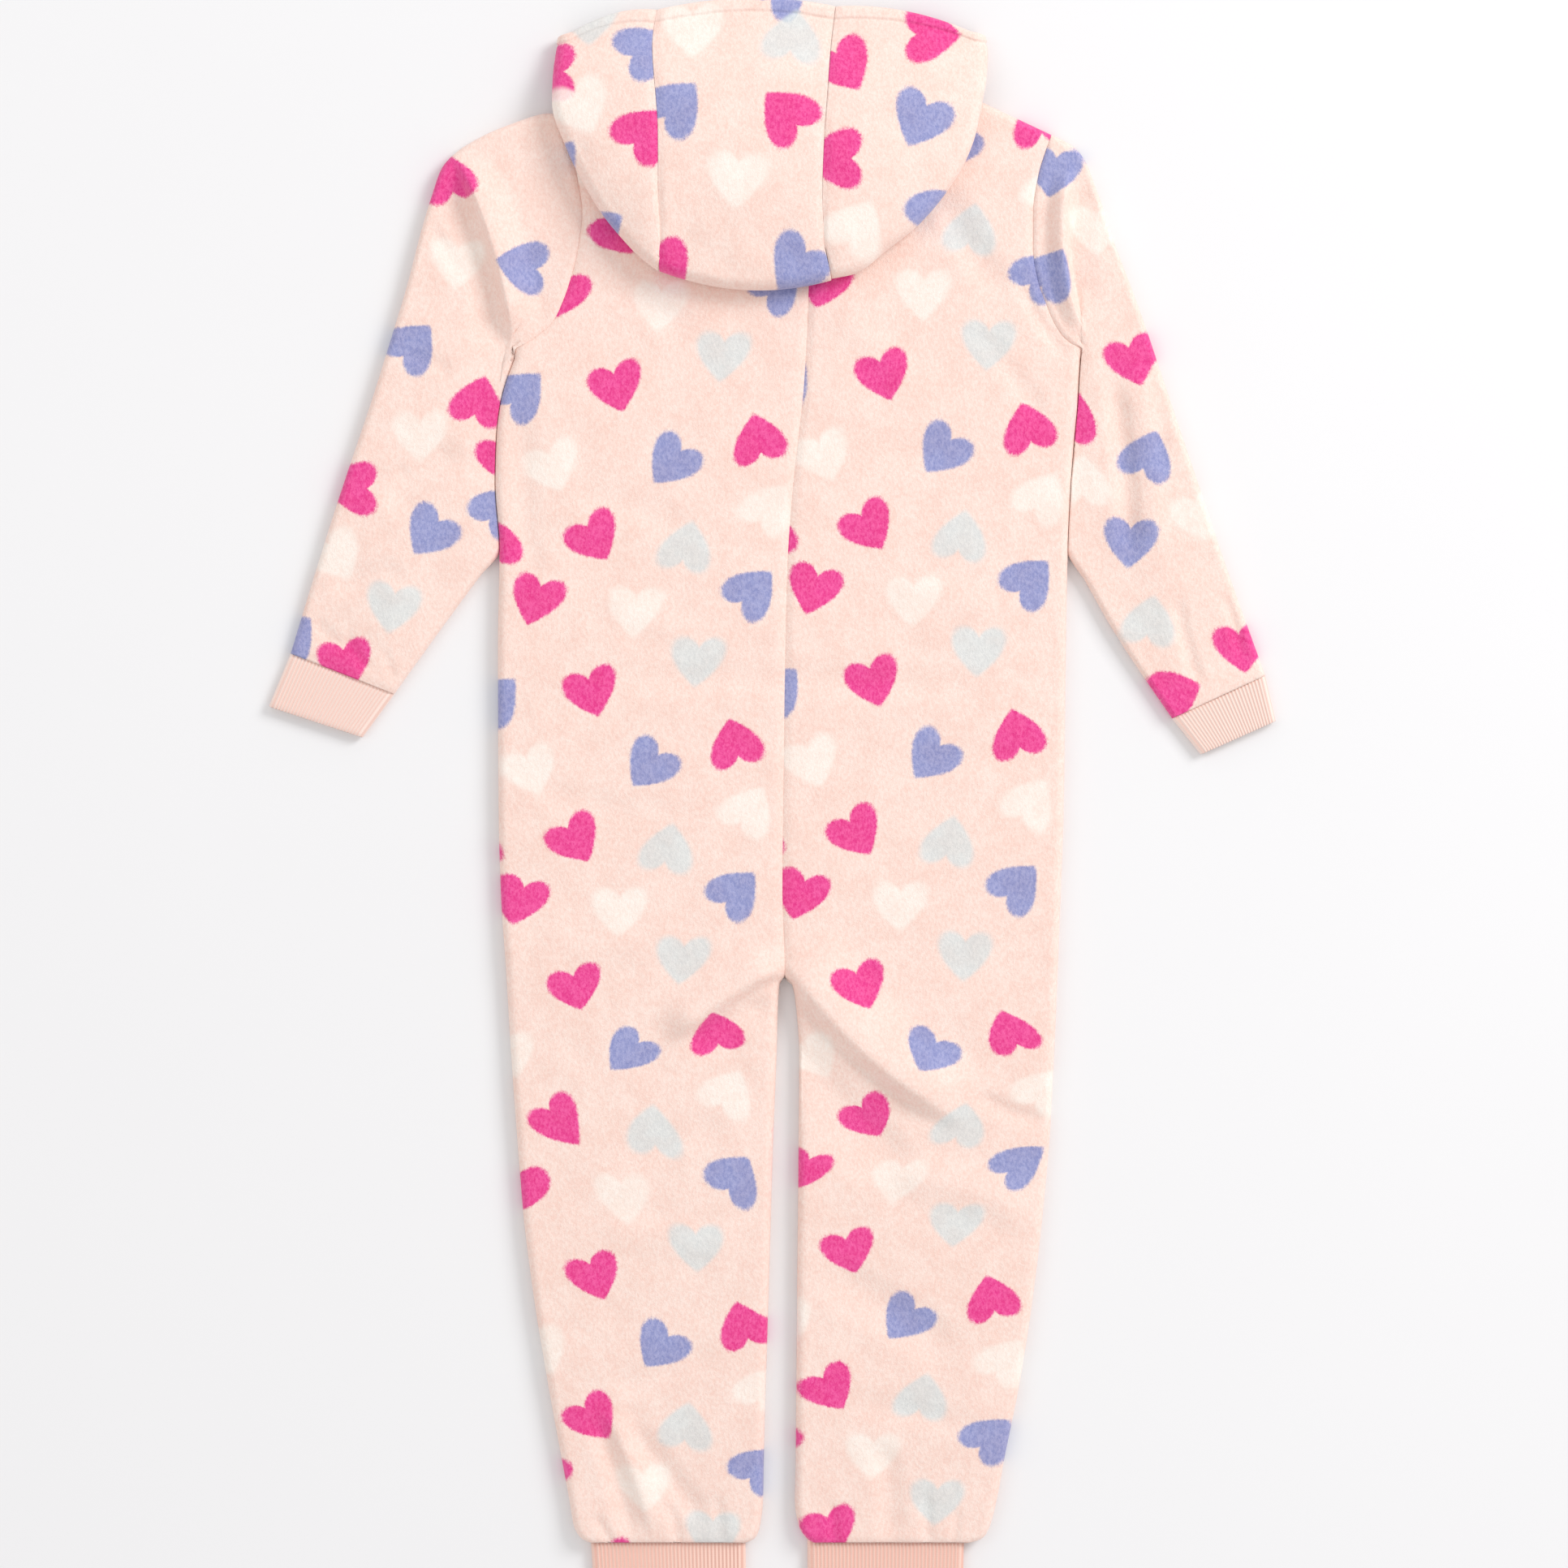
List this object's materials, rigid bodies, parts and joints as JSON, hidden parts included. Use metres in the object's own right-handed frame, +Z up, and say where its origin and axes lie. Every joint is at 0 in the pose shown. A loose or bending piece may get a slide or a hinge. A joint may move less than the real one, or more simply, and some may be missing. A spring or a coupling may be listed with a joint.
{
  "type": "onesie pajama",
  "caption": "Child's hooded fleece sleepsuit with heart print and ribbed cuffs, laid flat on its front with the hood turned down over the back.",
  "frame": {"origin": "middle of the garment's bounding box, on the surface that it lies on", "axes": "+Y from the ankles to the hood, +X to the wearer's right with the back upwards, +Z up from the surface"},
  "size_m": [0.6834, 1.0924, 0.039],
  "materials": {
    "fleece": "soft coral fleece with a short raised pile and printed hearts",
    "rib_knit": "fine matte rib knit",
    "zip_tape": "woven tape with a closed nylon coil",
    "zip_metal": "satin die-cast metal"
  },
  "bodies": {
    "garment": {"back_left": "fleece", "back_right": "fleece", "front_left": "fleece", "front_right": "fleece", "sleeve_left": "fleece", "sleeve_right": "fleece", "hood_middle": "fleece", "hood_side_left": "fleece", "hood_side_right": "fleece", "hood_folds": "fleece", "wrist_cuff_left": "rib_knit", "wrist_cuff_right": "rib_knit", "ankle_cuff_left": "rib_knit", "ankle_cuff_right": "rib_knit", "zip_tape": "zip_tape", "zip_slider": "zip_metal"},
    "pull_tab": {"zip_pull": "zip_metal"}
  },
  "joints": [
    {"name": "pull_tab_hinge", "type": "hinge", "parent": "garment", "child": "pull_tab", "pos_m": [0.00634, 0.42879, 0.00145], "axis": [1, 0, 0], "range_deg": [0, 150]}
  ]
}
